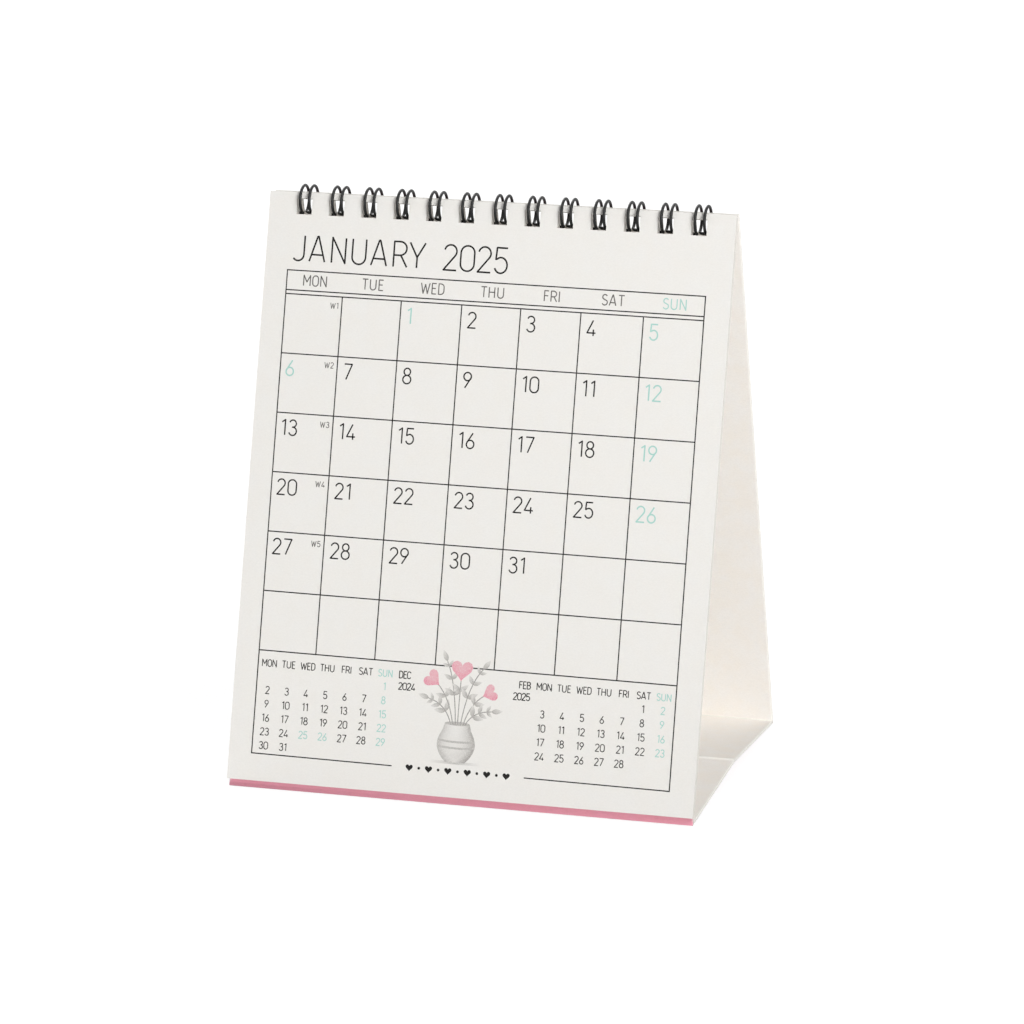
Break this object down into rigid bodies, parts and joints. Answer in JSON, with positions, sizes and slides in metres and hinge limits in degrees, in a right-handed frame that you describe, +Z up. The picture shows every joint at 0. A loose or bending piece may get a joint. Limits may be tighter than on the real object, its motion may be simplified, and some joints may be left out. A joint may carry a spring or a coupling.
{
  "type": "desk calendar",
  "caption": "Upright desk calendar with month leaves on a twin-loop wire binding over a folding card easel stand.",
  "frame": {"origin": "middle of the bounding box, on the table under the stand", "axes": "+X along the binding, to the reader's right; +Y from the front to the back; +Z up"},
  "size_m": [0.12, 0.0874, 0.1455],
  "materials": {
    "paper": "uncoated, printed",
    "card": "uncoated board",
    "pink_card": "pink front face, cream back and edges",
    "wire": "black nylon-coated steel wire"
  },
  "bodies": {
    "front": {"front_panel": "pink_card", "binding_wire": "wire"},
    "back": {"back_panel": "card"},
    "base_front": {"base_front_flap": "card"},
    "base_rear": {"base_rear_flap": "card"},
    "january": {"leaf_january": "paper"},
    "february": {"leaf_february": "paper"},
    "march": {"leaf_march": "paper"},
    "april": {"leaf_april": "paper"},
    "may": {"leaf_may": "paper"},
    "june": {"leaf_june": "paper"},
    "july": {"leaf_july": "paper"},
    "august": {"leaf_august": "paper"},
    "september": {"leaf_september": "paper"},
    "october": {"leaf_october": "paper"},
    "november": {"leaf_november": "paper"},
    "december": {"leaf_december": "paper"}
  },
  "joints": [
    {"name": "stand_fold", "type": "hinge", "parent": "front", "child": "back", "pos_m": [0, -0.00011, 0.14167], "axis": [1, 0, 0], "range_deg": [-30.8, 0]},
    {"name": "base_front_crease", "type": "hinge", "parent": "front", "child": "base_front", "pos_m": [0, -0.0417, 0.0008], "axis": [1, 0, 0], "range_deg": [0, 68.48]},
    {"name": "base_rear_crease", "type": "hinge", "parent": "back", "child": "base_rear", "pos_m": [0, 0.04278, 0.0008], "axis": [-1, 0, 0], "range_deg": [0, 68.48], "deforming": ["base_rear_flap"]},
    {"name": "turn_january", "type": "hinge", "parent": "front", "child": "january", "pos_m": [0, -0.00034, 0.14977], "axis": [-1, 0, 0], "range_deg": [0, 327.2], "deforming": ["leaf_january"]},
    {"name": "turn_february", "type": "hinge", "parent": "front", "child": "february", "pos_m": [0, -0.00034, 0.14977], "axis": [-1, 0, 0], "range_deg": [0, 327.2], "deforming": ["leaf_february"]},
    {"name": "turn_march", "type": "hinge", "parent": "front", "child": "march", "pos_m": [0, -0.00034, 0.14977], "axis": [-1, 0, 0], "range_deg": [0, 327.2], "deforming": ["leaf_march"]},
    {"name": "turn_april", "type": "hinge", "parent": "front", "child": "april", "pos_m": [0, -0.00034, 0.14977], "axis": [-1, 0, 0], "range_deg": [0, 327.2], "deforming": ["leaf_april"]},
    {"name": "turn_may", "type": "hinge", "parent": "front", "child": "may", "pos_m": [0, -0.00034, 0.14977], "axis": [-1, 0, 0], "range_deg": [0, 327.2], "deforming": ["leaf_may"]},
    {"name": "turn_june", "type": "hinge", "parent": "front", "child": "june", "pos_m": [0, -0.00034, 0.14977], "axis": [-1, 0, 0], "range_deg": [0, 327.2], "deforming": ["leaf_june"]},
    {"name": "turn_july", "type": "hinge", "parent": "front", "child": "july", "pos_m": [0, -0.00034, 0.14977], "axis": [-1, 0, 0], "range_deg": [0, 327.2], "deforming": ["leaf_july"]},
    {"name": "turn_august", "type": "hinge", "parent": "front", "child": "august", "pos_m": [0, -0.00034, 0.14977], "axis": [-1, 0, 0], "range_deg": [0, 327.2], "deforming": ["leaf_august"]},
    {"name": "turn_september", "type": "hinge", "parent": "front", "child": "september", "pos_m": [0, -0.00034, 0.14977], "axis": [-1, 0, 0], "range_deg": [0, 327.2], "deforming": ["leaf_september"]},
    {"name": "turn_october", "type": "hinge", "parent": "front", "child": "october", "pos_m": [0, -0.00034, 0.14977], "axis": [-1, 0, 0], "range_deg": [0, 327.2], "deforming": ["leaf_october"]},
    {"name": "turn_november", "type": "hinge", "parent": "front", "child": "november", "pos_m": [0, -0.00034, 0.14977], "axis": [-1, 0, 0], "range_deg": [0, 327.2], "deforming": ["leaf_november"]},
    {"name": "turn_december", "type": "hinge", "parent": "front", "child": "december", "pos_m": [0, -0.00034, 0.14977], "axis": [-1, 0, 0], "range_deg": [0, 327.2], "deforming": ["leaf_december"]}
  ],
  "couplings": [
    {"joint": "base_front_crease", "follows": "stand_fold", "ratio": -2.2221},
    {"joint": "base_rear_crease", "follows": "stand_fold", "ratio": -2.2221}
  ]
}
